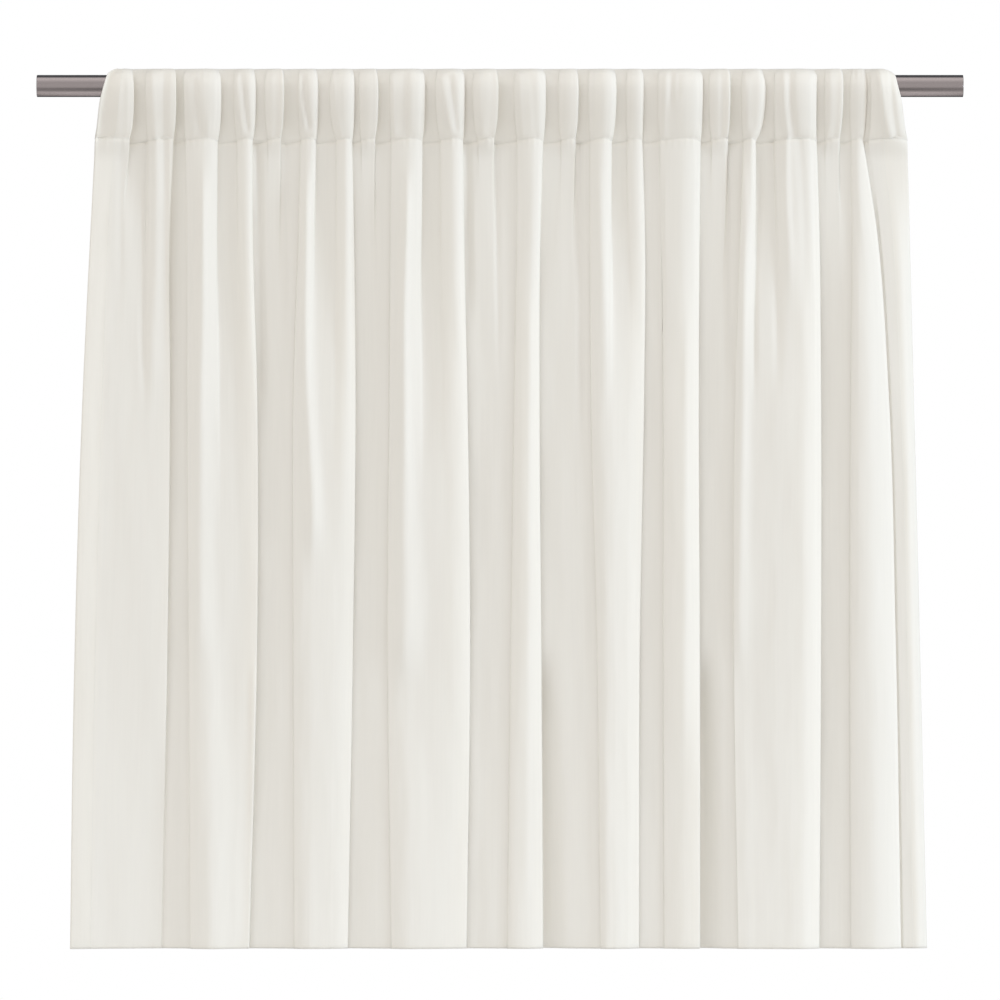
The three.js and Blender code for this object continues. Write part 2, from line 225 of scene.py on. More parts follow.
RELIEF_HOLD = 0.15  # share of its run below the seam over which a puff keeps its whole relief
SOFTENING_SHARE = 0.6  # share of its run over which its overhanging edge turns into a soft slope

# How far the cloth goes back under a puff's right edge, beside the rod and at the seam
ROD_TUCK = 4.4
SEAM_TUCK = 3
TUCK_SHARE = 0.2  # of the puff's width, at most

# The seam pinches the puffs: the share of their depth at it, how far below it they are free again,
# how far the gathers lift it, and the groove that its thread draws in
SEAM_SWELL = 1
PINCH_LENGTH = 22
SEAM_LIFT = 5.5
SEAM_LIFT_REACH = 20
LEVEL_RISE = 0.45  # the share of a puff's depth at which the seam isn't lifted
GROOVE_DEPTH = 0.8
GROOVE_REACH = 2

# Where the sheet hangs, across the rod's axis
SEAM_BACK_Y = 8
RECESS_Y = 9
RECESS_LIFT = 0.88  # a recess comes forward by this share of the rise of the fold on its right
SETTLE_LENGTH = 240  # below the seam, over which the cloth finds its place

# The free side edges of the pocket lean in over the rod
LEAN_HEIGHTS = [TOP_Z, 12, -12, -40]
LEANS = [18, 11, 3, 0]
LEAN_REACH = 40

# The top crease: how far it sways to and fro with the puffs, how far it lies below the panel's top,
# and how much narrower a puff is at it than beside the rod
CREASE_SWAY = 4
CREASE_DROP = 0.6
CREASE_PINCH = 0.26

# The pocket round the rod, up its front and then down its back: where the cloth would lie without
# puffs, the way a puff pushes it out, the share of the puff's depth it gets there, and how far its
# edges and its feet have gone from their places at the seam, 0, to those beside the rod, 1
SEAT_RADIUS = 14.7
SHOULDER = SEAT_RADIUS * math.sqrt(0.5)
Station = namedtuple("Station", "y z push_y push_z swell open tuck")
POCKET_FRONT = [
    Station(4.9, -54, -1, 0, 1.15, 0.4, 0.2),
    Station(0.5, -42, -1, 0, 1.25, 0.75, 0.6),
    Station(-10.6, -18, -1, 0, 1.15, 1, 0.9),
    Station(-SEAT_RADIUS, 1, -1, 0, 1, 1, 1),
    Station(-SHOULDER, SHOULDER, -0.8, 0.35, 1, 0.8, 0.3),
]
POCKET_BACK = [
    Station(SHOULDER, SHOULDER, 0.8, 0.35, 1, 1, 0.3),
    Station(SEAT_RADIUS, 0, 1, 0, 1, 1, 1),
    Station(11, -20, 1, 0, 1.2, 1, 0.8),
    Station(6, -42, 1, 0, 1.1, 0.6, 0.4),
]

# Soft creases and ridges on the folds, the recesses and the puffs. which is the number of the
# fold, recess or puff, from the left. rise is how far a ridge stands out or, below 0, a crease goes
# in, and spread is half its width at its upper and lower ends. line gives its course as (z, x),
# from the top down.
Crease = namedtuple("Crease", "which rise spread line")
FOLD_CREASES = [Crease(*row) for row in (
    # first panel: its free edge stands forward, and soft creases run down from its last puff
    (0, 4.5, (20, 28), [(-62, -462), (-200, -468), (-400, -476), (-980, -490)]),
    (0, 2.6, (14, 20), [(-220, -468), (-400, -476), (-980, -488)]),
    (0, -2.4, (2.5, 4), [(-62, -403), (-200, -403), (-300, -404)]),
    (0, -0.8, (4, 4), [(-62, -431), (-186, -431)]),
    (0, 2.2, (5, 9), [(-62, -392), (-198, -391), (-300, -394)]),
    (0, -2.2, (4, 5), [(-62, -381), (-198, -381), (-260, -381)]),
    # second fold: a high ridge at its left, and low down a broad one
    (1, 8, (6, 13), [(-150, -337), (-254, -338), (-356, -340), (-600, -340)]),
    (1, 5, (18, 22), [(-660, -338), (-760, -334), (-868, -332), (-980, -330)]),
    (1, 3.2, (5, 8), [(-700, -279), (-868, -280), (-980, -282)]),
    (1, -0.8, (6, 9), [(-130, -306), (-349, -300), (-560, -296)]),
    # third fold: a high ridge at its left
    (2, 7, (6, 9), [(-150, -220), (-254, -221), (-356, -219), (-480, -212)]),
    # fourth fold: a high ridge at its left, which is broader lower down
    (3, 8, (6, 8.5), [(-150, -106), (-254, -109), (-400, -109)]),
    (3, 8, (12, 16), [(-470, -110), (-620, -110)]),
    # fifth and sixth folds: faint ridges
    (4, 0.8, (4, 5), [(-300, 34), (-600, 32), (-900, 30)]),
    (5, 1.6, (5, 8), [(-120, 112), (-198, 116), (-300, 122)]),
    # seventh fold: a narrow crease at its top, and a faint ridge lower down
    (6, -1.6, (1.6, 2), [(-150, 184), (-254, 185)]),
    (6, 1.2, (5, 7), [(-300, 212), (-600, 211), (-700, 210)]),
    # eighth fold: the ridge of its first puff, then a plateau with soft creases
    (7, 4, (5, 9), [(-120, 277), (-254, 276), (-356, 275), (-600, 270)]),
    (7, -1.8, (3, 5), [(-62, 310), (-198, 314), (-300, 316)]),
    (7, 3, (4, 6), [(-62, 325), (-130, 325), (-180, 328)]),
    (7, -1.8, (5, 6), [(-62, 340), (-130, 344), (-200, 346)]),
    (7, -2, (2.5, 3), [(-120, 296), (-198, 290), (-300, 289)]),
)]
# Furrows beside the puffs that run out in the recesses, and low down a faint swelling beside the
# first fold and a broad valley beside two others
RECESS_CREASES = [Crease(*row) for row in (
    (0, 1.4, (6, 7), [(-540, -369), (-700, -371), (-980, -376)]),
    (1, -3, (4, 6), [(-62, -276), (-100, -275), (-200, -274), (-320, -272)]),
    (1, -1.4, (2.5, 3), [(-62, -244), (-100, -243), (-220, -241)]),
    (3, -2.2, (3.5, 5), [(-62, -37), (-100, -37), (-220, -36)]),
    (3, -1.6, (2.5, 3), [(-62, -4), (-100, -4), (-200, -3), (-260, -2)]),
    (4, -2.4, (2.5, 6), [(-62, 90), (-100, 90), (-200, 92), (-340, 94)]),
    (4, -7, (12, 20), [(-700, 47), (-868, 48), (-980, 49)]),
    (6, -2.4, (2.5, 6), [(-62, 260), (-100, 260), (-200, 261), (-300, 263)]),
    (6, -8, (12, 17), [(-700, 229), (-868, 231), (-980, 231)]),
)]
PUFF_CREASES = [Crease(*row) for row in (
    (0, -1.4, (8, 8), [(15, -441), (-22, -443), (-60, -446)]),
    (0, -0.8, (3, 3), [(0, -426), (-60, -428)]),
    (1, 2.6, (4.5, 4.5), [(17, -394), (-10, -394), (-60, -392)]),
    (1, -2.6, (5, 5), [(15, -380), (-25, -381), (-60, -381)]),
    (2, -1.6, (4, 3.5), [(2, -346), (-25, -345), (-52, -341)]),
    (2, 1.2, (2, 2), [(-42, -331), (-56, -332)]),
    (3, 2, (2.4, 2.4), [(10, -298), (-20, -297), (-50, -293)]),
    (3, -2.6, (2.6, 2.2), [(10, -292), (-20, -289), (-48, -286)]),
    (4, -1.5, (3.4, 3), [(12, -252), (-20, -252.5), (-54, -254)]),
    (5, 2, (2.2, 2), [(8, -228), (-20, -227), (-46, -222)]),
    (5, -2.6, (3, 2.2), [(8, -223), (-20, -221), (-44, -217)]),
    (6, 1.2, (3, 3), [(15, -189), (-28, -186), (-57, -180)]),
    (8, 1.6, (3, 3), [(13, -122), (-22, -122), (-53, -120)]),
    (8, -1.8, (6, 6), [(13, -108), (-22, -109), (-53, -108)]),
    (9, 1.7, (3, 3), [(8, -66), (-20, -62), (-48, -56)]),
    (9, -2.6, (4, 2.4), [(8, -56), (-20, -53), (-48, -49)]),
    (10, 1.2, (4, 4), [(12, -24), (-20, -24), (-54, -19)]),
    (10, -1, (4, 4), [(12, -9), (-20, -10), (-54, -12)]),
    (11, 1.4, (4, 4), [(12, 22), (-20, 23), (-54, 26)]),
    (11, -1.2, (4, 4), [(12, 35), (-20, 38), (-54, 40)]),
    (15, 1.4, (3.5, 4), [(14, 188), (-57, 186)]),
    (15, -1.6, (2.6, 3), [(17, 195), (-20, 194)]),
    (15, -0.9, (1.8, 1.8), [(15, 203), (-8, 202)]),
    (16, -1.4, (3, 3), [(12, 252), (-20, 252), (-54, 252)]),
    (17, 2.2, (2.6, 2.6), [(8, 278), (-20, 279), (-46, 281)]),
    (17, -1.1, (3, 2.2), [(8, 289), (-20, 289), (-46, 288)]),
    (18, 2, (3.5, 3), [(16, 322), (-25, 323), (-58, 327)]),
    (18, -2, (3.5, 4), [(14, 329), (-25, 330), (-54, 334)]),
    (19, 0.8, (3, 3), [(14, 374), (-30, 374), (-56, 373)]),
    (19, -1.5, (3.5, 3), [(14, 383), (-30, 383), (-56, 381)]),
    (21, 2.8, (4, 4), [(15, 430), (-20, 434), (-58, 443)]),
    (21, -2, (3.5, 3.5), [(15, 443), (-20, 445), (-58, 451)]),
)]
FOLD_FADE = 70  # past a crease's ends
PUFF_FADE = 8
PUFF_SIDE_COLUMNS = 3  # over which a crease fades in from its puff's sides

# The little pleats at the top crease and at the seam: their depth, their length across the cloth,
# their middle height, how far they reach up and down, and where their unevenness starts
Gather = namedtuple("Gather", "depth length height reach start")
GATHERS = [
    Gather(0.5, 5.2, TOP_Z - 3, 9, 0),
    Gather(0.25, 6.4, SEAM_Z, 9, 2),
]
# The share by which their depth swells and fades and the length over which it does, and the radians
# by which they wander to the side and the length to a radian of that
GATHER_SWELL = 0.5
GATHER_SWELL_LENGTH = 31
GATHER_WANDER = 1.4
GATHER_WANDER_LENGTH = 11

# Slow unevenness of the whole sheet: depth, and wavelengths across and up the cloth
Wave = namedtuple("Wave", "depth across up")
WAVES = [Wave(0.3, 61, 410), Wave(0.22, 37, 230), Wave(0.1, 17, 120)]
WAVE_RUN_IN = 120  # below the seam
WAVE_WANDER = 1.3  # radians to the side
WAVE_STEP = 1.7  # radians from one wave's start to the next one's

# How finely the sheet is drawn
COLUMN_SPACING = 2.1
LEAST_STEPS = 2  # from a column to the next
FIRST_ROW_SPACING = 0.9
LAST_ROW_SPACING = 20
ROW_SPACING_GROWTH = 1.17
ROWS_A_STATION = 4

# The stitches: sides of the thread, its rings as shares of a stitch's length and of the thread's
# thickness, how far they lie above the cloth, and how far from the inner edge of a hem they run
STITCH_SIDES = 5
STITCH_RINGS = [(-0.5, 0.4), (-0.34, 1), (0.34, 1), (0.5, 0.4)]
STITCH_LIFT = 0.12
STITCH_INSET = 1.2

LAYER_GAP = 0.7  # between two layers of cloth in a hem
HEM_ROWS = 2  # rows of the sheet in its lower hem
TURN_ROWS = 4  # rows that the pocket's back layer runs on below its seam, about 5 mm

# How close together the patterns are, along X, Y and Z and to a metre: the cloth's streaks are
# 0.11 m long and 2.4 mm apart, and the rod's brush strokes 83 mm long and 0.7 mm apart, where real
# ones are about 0.1 mm apart and finer than the picture can show
STREAK_SCALE = (420, 9, 1)
STREAK_RELIEF = 1.5  # against the threads' own
BRUSHING_SCALE = (12, 1500, 1500)
WAVE_TEXTURE_LENGTH = 2 * math.pi / 20  # from wave to wave of the wave texture at a scale of 1
TWIST_SCALE = 600.0  # a turn of the sewing thread's twist in 0.5 mm

ROUND_SIDES = 96  # of the rod and the floor
END_NORMAL = 0.9  # a cut end's normal lies along the rod by more than this
CHAMFER_SEGMENTS = 3
SHARP_ANGLE = math.radians(40)

# Light of the studio from straight down, 0, to straight up, 1, and from before the curtain, 0, to
# behind it, 1, as a grey or a colour
BEHIND_LIGHT = (0.12, 0.13, 0.14)
WORLD_BY_HEIGHT = [(0, 1), (0.2, 1), (0.3, 0.92), (0.4, 0.94), (0.5, 1), (0.8, 0.95), (1, 1.6)]
WORLD_BY_DEPTH = [(0, 1), (0.47, 1), (0.64, BEHIND_LIGHT), (1, BEHIND_LIGHT)]
WORLD_STRENGTH = 1.025
# Before the curtain and below it lies an unlit strip, which the rod shows as a dark line
STRIP_LIGHT = 0.15
STRIP_BY_HEIGHT = [(0, 1), (0.08, 1), (0.11, STRIP_LIGHT), (0.31, STRIP_LIGHT), (0.335, 1)]
STRIP_ASIDE = (0.15, 0.4)  # how far aside it begins to fade and ends, as shares

# The floor, the lamps and the camera's sensor, in metres, watts and millimetres. A lamp's height
# counts from the floor where it lies on it.
FLOOR_RADIUS = 0.8
FLOOR_Y = 0.35
Lamp = namedtuple("Lamp", "x y z size power colour")
KEY_LAMP = Lamp(5.6, -1.9, 0.5, 1.6, 145, (0.67, 0.82, 1.0))
FLOOR_LAMP = Lamp(0, 0.45, 0.01, 1.6, 4.4, (1, 0.97, 0.96))
SENSOR_WIDTH = 36


def mix(a, b, t):
    return a + (b - a) * t


def clamp(value, low, high):
    return min(max(value, low), high)


def ease(t):
    """A soft step from 0 at t = 0 to 1 at t = 1."""
    t = np.clip(t, 0, 1)
    return t * t * (3 - 2 * t)


def hermite(u, start, end, leave, arrive):
    """The smooth way from start, at u = 0, to end, at u = 1, with its slopes there."""
    return (
        (2 * u**3 - 3 * u**2 + 1) * start
        + (u**3 - 2 * u**2 + u) * leave
        + (3 * u**2 - 2 * u**3) * end
        + (u**3 - u**2) * arrive
    )


def smooth_along(x, xs, ys):
    """The smooth curve through the points (xs, ys) at x, an array; xs may rise or fall."""
    xs, ys = np.array(xs, float), np.array(ys, float)
    if xs[0] > xs[-1]:
        xs, ys = xs[::-1], ys[::-1]
    slopes = np.gradient(ys, xs)
    x = np.clip(x, xs[0], xs[-1])
    i = np.clip(np.searchsorted(xs, x, side="right") - 1, 0, len(xs) - 2)
    run = xs[i + 1] - xs[i]
    return hermite((x - xs[i]) / run, ys[i], ys[i + 1], run * slopes[i], run * slopes[i + 1])


def curve_through(points, steps):
    """The smooth curve through points, an array of places or of rows of places, with steps[i] new
    ones from point i up to point i + 1. It stays near its points where they crowd."""
    padded = np.concatenate([[2 * points[0] - points[1]], points, [2 * points[-1] - points[-2]]])
    run = np.sqrt(np.linalg.norm(np.diff(padded, axis=0), axis=-1, keepdims=True)) + TINY
    made = []
    for i, count in enumerate(steps):
        p0, p1, p2, p3 = padded[i:i + 4]
        a, b, c = run[i:i + 3]
        leave = b * ((p1 - p0) / a - (p2 - p0) / (a + b) + (p2 - p1) / b)
        arrive = b * ((p2 - p1) / b - (p3 - p1) / (b + c) + (p3 - p2) / c)
        made += [hermite(u, p1, p2, leave, arrive) for u in np.arange(count) / count]
    made.append(points[-1])
    return np.array(made)


class Column:
    """A line of cloth from the hem up, at the share across of its puff's width, which stands out by
    the share rise of its depth. It is on the puff's crown or at its edge, or a foot behind an edge,
    or shared by two puffs that touch."""

    def __init__(self, number, kind, across, rise=None, shift=0):
        self.puff = PUFFS[number]
        self.number = number
        self.kind = kind
        self.across = across
        shoulder = 1 - SHOULDER_SHARE * (1 - self.puff.edge)
        rises = [*PUFF_RISES, shoulder, self.puff.edge]
        self.rise = smooth_along(across, PUFF_SHARES, rises) if rise is None else rise
        self.shift = shift
        self.fold = None
        self.recess = None
        self.share = 0
        self.width = self.puff.right - self.puff.left
        self.depth = clamp(PUFF_DEPTH_SHARE * self.width, *PUFF_DEPTH_RANGE)

    def pocket_x(self, z, open_share, tuck):
        """Its X at a height of the pocket, where puffs are open and tucked under by those shares."""
        puff = self.puff
        left = mix(puff.seam_left, puff.left, open_share)
        right = mix(puff.seam_right, puff.right, open_share)
        x = mix(left, right, self.across) + self.shift
        if self.kind == "foot" and self.across == 1:
            x -= min(TUCK_SHARE * self.width, mix(SEAM_TUCK, ROD_TUCK, tuck))
        lean = np.interp(-z, [-h for h in LEAN_HEIGHTS], LEANS)
        from_left = clamp(1 - (x - PUFFS[0].left) / LEAN_REACH, 0, 1)
        from_right = clamp(1 - (PUFFS[-1].right - x) / LEAN_REACH, 0, 1)
        return x + lean * (from_left - from_right)

    def sheet_points(self, z):
        """Its points on the hanging sheet at the heights z."""
        below = SEAM_Z - z
        merged = ease((below / self.puff.runs_out - RELIEF_HOLD) / (1 - RELIEF_HOLD))
        softened = ease(below / self.puff.runs_out / SOFTENING_SHARE)
        swell = mix(SEAM_SWELL, self.puff.swell, ease(below / PINCH_LENGTH))
        back_y = mix(SEAM_BACK_Y, RECESS_Y, ease(below / SETTLE_LENGTH))
        if self.fold is not None:
            fold = FOLDS[self.fold]
            x = mix(fold_edge(fold, "left", z), fold_edge(fold, "right", z), self.share)
            rise = fold_rise(fold, self.share, z)
        else:
            before, after = FOLDS[self.recess:self.recess + 2]
            tucked = ease(below / SETTLE_LENGTH)
            x = mix(fold_edge(before, "right", z), fold_edge(after, "left", z), self.share)
            if self.share == 0:
                x -= mix(SEAM_TUCK, fold_tuck(before, "tuck_right", z), tucked)
            if self.share == 1:
                x += tucked * fold_tuck(after, "tuck_left", z)
            rise = RECESS_LIFT * fold_rise(after, 0, z) * self.share
        if self.fold is None or self.share not in (0, 1):
            x = mix(self.pocket_x(SEAM_Z, 0, 0), x, softened)
        kept = self.puff.keeps * self.depth * (self.rise - MEAN_RISE)
        y = back_y - mix(swell * self.depth * self.rise, rise + kept, merged)
        return np.stack([x, y, z], axis=-1)

    def pocket_point(self, station, front):
        """Its place at a station of the pocket; a puff of the front is a hollow of the back."""
        bulge = self.rise if front else 1 - self.rise
        out = self.depth * bulge * station.swell
        z = station.z + out * station.push_z
        x = self.pocket_x(z, station.open, station.tuck)
        return [x, station.y + out * station.push_y, z]

    def crease_point(self):
        """Its place on the top crease, which sways with the puffs."""
        z = TOP_Z - CREASE_DROP
        x = self.pocket_x(z, 1, 0)
        if self.kind != "foot":
            x += CREASE_PINCH * self.width * (0.5 - self.across)
        return [x, mix(CREASE_SWAY, -CREASE_SWAY, self.rise), z]


def lowness(fold, z):
    """How far a fold has changed from its upper section to its lower one, from 0 to 1."""
    start, end = fold.change
    return ease((z - start) / (end - start))


def section_rise(section, share):
    """How far a fold of that section stands out at a share of its width."""
    if share < section.crest:
        missing = (1 - section.rise_left) * (1 - share / section.crest) ** 2
    else:
        missing = (1 - section.rise_right) * ((share - section.crest) / (1 - section.crest)) ** 2
    return section.depth * (1 - missing)


def fold_rise(fold, share, z):
    """How far a fold stands out at a share of its width and the heights z."""
    return mix(section_rise(fold.upper, share), section_rise(fold.lower, share), lowness(fold, z))


def fold_tuck(fold, side, z):
    """How far a fold's side goes back under its edge at the heights z."""
    return mix(getattr(fold.upper, side), getattr(fold.lower, side), lowness(fold, z))


def fold_edge(fold, side, z):
    """X of a fold's long edge at the heights z."""
    seam = PUFFS[fold.first].seam_left if side == "left" else PUFFS[fold.last].seam_right
    return smooth_along(z, [SEAM_Z, *FOLD_HEIGHTS], [seam, *getattr(fold, side)])


def make_columns():
    """The columns of the cloth from left to right, each in its fold or its recess."""
    columns = []
    for i, puff in enumerate(PUFFS):
        is_first = i == 0
        is_last = i == len(PUFFS) - 1
        apart_before = not is_first and puff.left - PUFFS[i - 1].right >= TOUCHING_GAP
        gap_after = 0 if is_last else PUFFS[i + 1].left - puff.right
        if apart_before:
            columns.append(Column(i, "foot", 0, rise=LEFT_FOOT_RISE))
        if apart_before or is_first:
            columns.append(Column(i, "edge", 0, rise=FREE_EDGE_RISE if is_first else None))
        crown = WIDE_CROWN if puff.right - puff.left >= WIDE_PUFF else NARROW_CROWN
        columns += [Column(i, "crown", across) for across in crown]
        if gap_after >= TOUCHING_GAP or is_last:
            columns.append(Column(i, "edge", 1))
        if gap_after >= TOUCHING_GAP:
            columns.append(Column(i, "foot", 1, rise=0))
        elif not is_last:
            columns.append(Column(i, "shared", 1, rise=SHARED_CREASE_RISE, shift=gap_after / 2))
    place_in_folds(columns)
    return columns


def place_in_folds(columns):
    """Gives each column its fold or its recess, and its share of the width of that."""
    seam_x = [c.pocket_x(SEAM_Z, 0, 0) for c in columns]
    edges = [i for i, c in enumerate(columns) if c.kind == "edge"]
    starts = [min(i for i in edges if columns[i].number == fold.first) for fold in FOLDS]
    ends = [max(i for i in edges if columns[i].number == fold.last) for fold in FOLDS]

    def place(start, end, name, value):
        widths = np.maximum(np.diff(seam_x[start:end + 1]), LEAST_WIDTH)
        shares = np.concatenate([[0], np.cumsum(widths)]) / widths.sum()
        for column, share in zip(columns[start:end + 1], shares):
            column.share = share
            setattr(column, name, value)

    for f in range(len(FOLDS)):
        place(starts[f], ends[f], "fold", f)
        if f < len(FOLDS) - 1:
            place(ends[f] + 1, starts[f + 1] - 1, "recess", f)


def row_heights(lower_hem):
    """Heights of the sheet's rows, from the hem up to the seam. They crowd towards both."""
    below = [0]
    spacing = FIRST_ROW_SPACING
    while below[-1] + spacing < SEAM_Z - HEM_Z - lower_hem - LAST_ROW_SPACING / 2:
        below.append(below[-1] + spacing)
        spacing = min(spacing * ROW_SPACING_GROWTH, LAST_ROW_SPACING)
    hem_rows = [HEM_Z, HEM_Z + lower_hem / 2, HEM_Z + lower_hem]
    return np.array(hem_rows + [SEAM_Z - b for b in below[::-1]])


class Grid:
    """The cloth's middle as rows and columns of places in millimetres, from the hem up the front,
    round the pocket and down its back to the seam."""

    def __init__(self, lower_hem):
        columns = make_columns()
        heights = row_heights(lower_hem)
        sheet = np.array([c.sheet_points(heights) for c in columns])
        pocket = np.array([
            [c.pocket_point(s, True) for s in POCKET_FRONT]
            + [c.crease_point()]
            + [c.pocket_point(s, False) for s in POCKET_BACK]
            for c in columns
        ])
        seam = sheet[:, -1:]
        ring = np.concatenate([seam, pocket, seam], axis=1).swapaxes(0, 1)
        turns = curve_through(ring, [ROWS_A_STATION] * (len(ring) - 1)).swapaxes(0, 1)
        coarse = np.concatenate([sheet[:, :-1], turns], axis=1)
        lift = np.array([c.rise - LEVEL_RISE for c in columns])[:, None] * SEAM_LIFT
        coarse[..., 2] += lift * np.exp(-(((coarse[..., 2] - SEAM_Z) / SEAM_LIFT_REACH) ** 2))
        widths = np.linalg.norm(np.diff(coarse, axis=0), axis=-1).mean(axis=1)
        steps = [max(LEAST_STEPS, round(width / COLUMN_SPACING)) for width in widths]
        self.places = curve_through(coarse, steps)
        self.seam_row = len(heights) - 1
        self.top_row = self.seam_row + ROWS_A_STATION * (len(POCKET_FRONT) + 1)
        # The fold, the recess and the puff that each of the grid's columns lies on, or None
        self.folds, self.recesses, self.puffs = [], [], []
        for here, there, count in zip(columns, columns[1:], steps):
            within_puff = here.number == there.number and "foot" not in (here.kind, there.kind)
            self.folds += [here.fold if here.fold == there.fold else None] * count
            self.recesses += [here.recess if here.recess == there.recess else None] * count
            self.puffs += [here.number if within_puff else None] * count
        self.folds.append(columns[-1].fold)
        self.recesses.append(None)
        self.puffs.append(columns[-1].number)
        self.add_creases()
        self.add_gathers()
        self.add_waves()
        self.add_groove()

    def add_creases(self):
        normals = normals_of(self.places)
        sheet_rows = slice(0, self.seam_row + 1)
        front_rows = slice(self.seam_row, self.top_row)
        for creases, numbers in ((FOLD_CREASES, self.folds), (RECESS_CREASES, self.recesses)):
            for crease in creases:
                part = self.places[columns_on(numbers, crease.which), sheet_rows]
                part[..., 1] -= crease_relief(crease, part, FOLD_FADE)
        for crease in PUFF_CREASES:
            columns = columns_on(self.puffs, crease.which)
            part = self.places[columns, front_rows]
            from_sides = np.minimum(np.arange(len(part)), np.arange(len(part))[::-1])
            fade_in = ease(from_sides / PUFF_SIDE_COLUMNS)[:, None]
            out = crease_relief(crease, part, PUFF_FADE) * fade_in
            part[..., :2] += normals[columns, front_rows, :2] * out[..., None]

    def add_gathers(self):
        """The little pleats that the crease and the seam draw up."""
        normals = normals_of(self.places)
        along = lengths_along(self.places[:, self.seam_row])[:, None]
        z = self.places[..., 2]
        out = np.zeros_like(z)
        for gather in GATHERS:
            near = np.exp(-(((z - gather.height) / gather.reach) ** 2))
            swell = np.sin(2 * math.pi * along / GATHER_SWELL_LENGTH + gather.start)
            wander = GATHER_WANDER * np.sin(along / GATHER_WANDER_LENGTH + gather.start)
            pleats = np.sin(2 * math.pi * along / gather.length + wander)
            out += gather.depth * (1 + GATHER_SWELL * swell) * near * pleats
        self.places[..., :2] += normals[..., :2] * out[..., None]

    def add_waves(self):
        """The slow unevenness of the sheet, below its seam."""
        along = lengths_along(self.places[:, self.seam_row // 2])[:, None]
        z = self.places[..., 2]
        below = ease((SEAM_Z - z) / WAVE_RUN_IN)
        for number, wave in enumerate(WAVES):
            wander = WAVE_WANDER * np.sin(2 * math.pi * z / wave.up + WAVE_STEP * number)
            waves = np.sin(2 * math.pi * along / wave.across + wander)
            self.places[..., 1] += wave.depth * below * waves

    def add_groove(self):
        """The groove that the seam's thread draws in, on the front."""
        front = self.places[:, :self.top_row]
        away = (front[..., 2] - front[:, self.seam_row, 2][:, None]) / GROOVE_REACH
        front[..., 1] += GROOVE_DEPTH * np.exp(-(away**2))


def columns_on(numbers, which):
    """The columns from the first to the last with that number."""
    found = [i for i, number in enumerate(numbers) if number == which]
    return slice(found[0], found[-1] + 1)


def crease_relief(crease, part, fade):
    """How far a crease lifts each place of a part of the grid."""
    x, z = part[..., 0], part[..., 2]
    heights = [place[0] for place in crease.line]
    middle = smooth_along(z, heights, [place[1] for place in crease.line])
    down = np.clip((heights[0] - z) / (heights[0] - heights[-1]), 0, 1)
    spread = mix(crease.spread[0], crease.spread[1], down)
    past_end = np.maximum(np.maximum(z - heights[0], heights[-1] - z), 0)
    return crease.rise * np.exp(-(((x - middle) / spread) ** 2)) * (1 - ease(past_end / fade))


def normals_of(grid):
    """Unit normals of a grid, on the room's side."""
    across = np.gradient(grid, axis=0)
    up = np.gradient(grid, axis=1)
    normals = np.cross(across, up)
    return normals / np.linalg.norm(normals, axis=-1, keepdims=True)


def lengths_along(points):
    """Length from the first of the points to each of them."""
    return np.concatenate([[0], np.cumsum(np.linalg.norm(np.diff(points, axis=0), axis=-1))])


def place_at(values, along, length):
    """The place or normal at that length along a row of them."""
    return np.array([np.interp(length, along, values[:, axis]) for axis in range(3)])


def stitches_along(points, normals, stitches):
    """Vertices and faces of a row of stitches that lie on the cloth along points."""
    along = lengths_along(points)
    length, pitch, radius = stitches.length / MM, stitches.pitch / MM, stitches.thickness / MM / 2
    turns = np.arange(STITCH_SIDES) * 2 * math.pi / STITCH_SIDES
    vertices = []
    faces = []
    for middle in np.arange(pitch / 2, along[-1], pitch):
        place, normal = place_at(points, along, middle), place_at(normals, along, middle)
        before = place_at(points, along, middle - length / 4)
        after = place_at(points, along, middle + length / 4)
        way = (after - before) / np.linalg.norm(after - before)
        side = np.cross(way, normal)
        first = len(vertices)
        for share, thickness in STITCH_RINGS:
            centre = place + normal * STITCH_LIFT * thickness + way * share * length
            for t in turns:
                outward = side * math.cos(t) + normal * math.sin(t)
                vertices.append(tuple((centre + outward * radius * thickness) * MM))
        for ring in range(len(STITCH_RINGS) - 1):
            for i in range(STITCH_SIDES):
                a = first + ring * STITCH_SIDES
                j = (i + 1) % STITCH_SIDES
                faces.append((a + i, a + j, a + STITCH_SIDES + j, a + STITCH_SIDES + i))
        last = first + (len(STITCH_RINGS) - 1) * STITCH_SIDES
        faces.append(tuple(range(first, first + STITCH_SIDES))[::-1])
        faces.append(tuple(range(last, last + STITCH_SIDES)))
    return vertices, faces


def sewn_lines(grid, normals, side, lower_hem):
    """The lines that are sewn, each as points and normals, on the front and on the back: the seam,
    the lower hem and the side hems, side columns wide."""
    places = grid.places
    hem_share = 1 - STITCH_INSET / (lower_hem / HEM_ROWS)
    hem_line = mix(places[:, HEM_ROWS - 1], places[:, HEM_ROWS], hem_share)
    lines = [(places[:, grid.seam_row], normals[:, grid.seam_row], 0)]
    lines += [(hem_line, normals[:, HEM_ROWS], 1)]
    lines += [(places[i], normals[i], 1) for i in (side - 1, len(places) - side)]
    for points, outward, layers in lines:
        yield points, outward
        yield points - outward * LAYER_GAP * layers, -outward


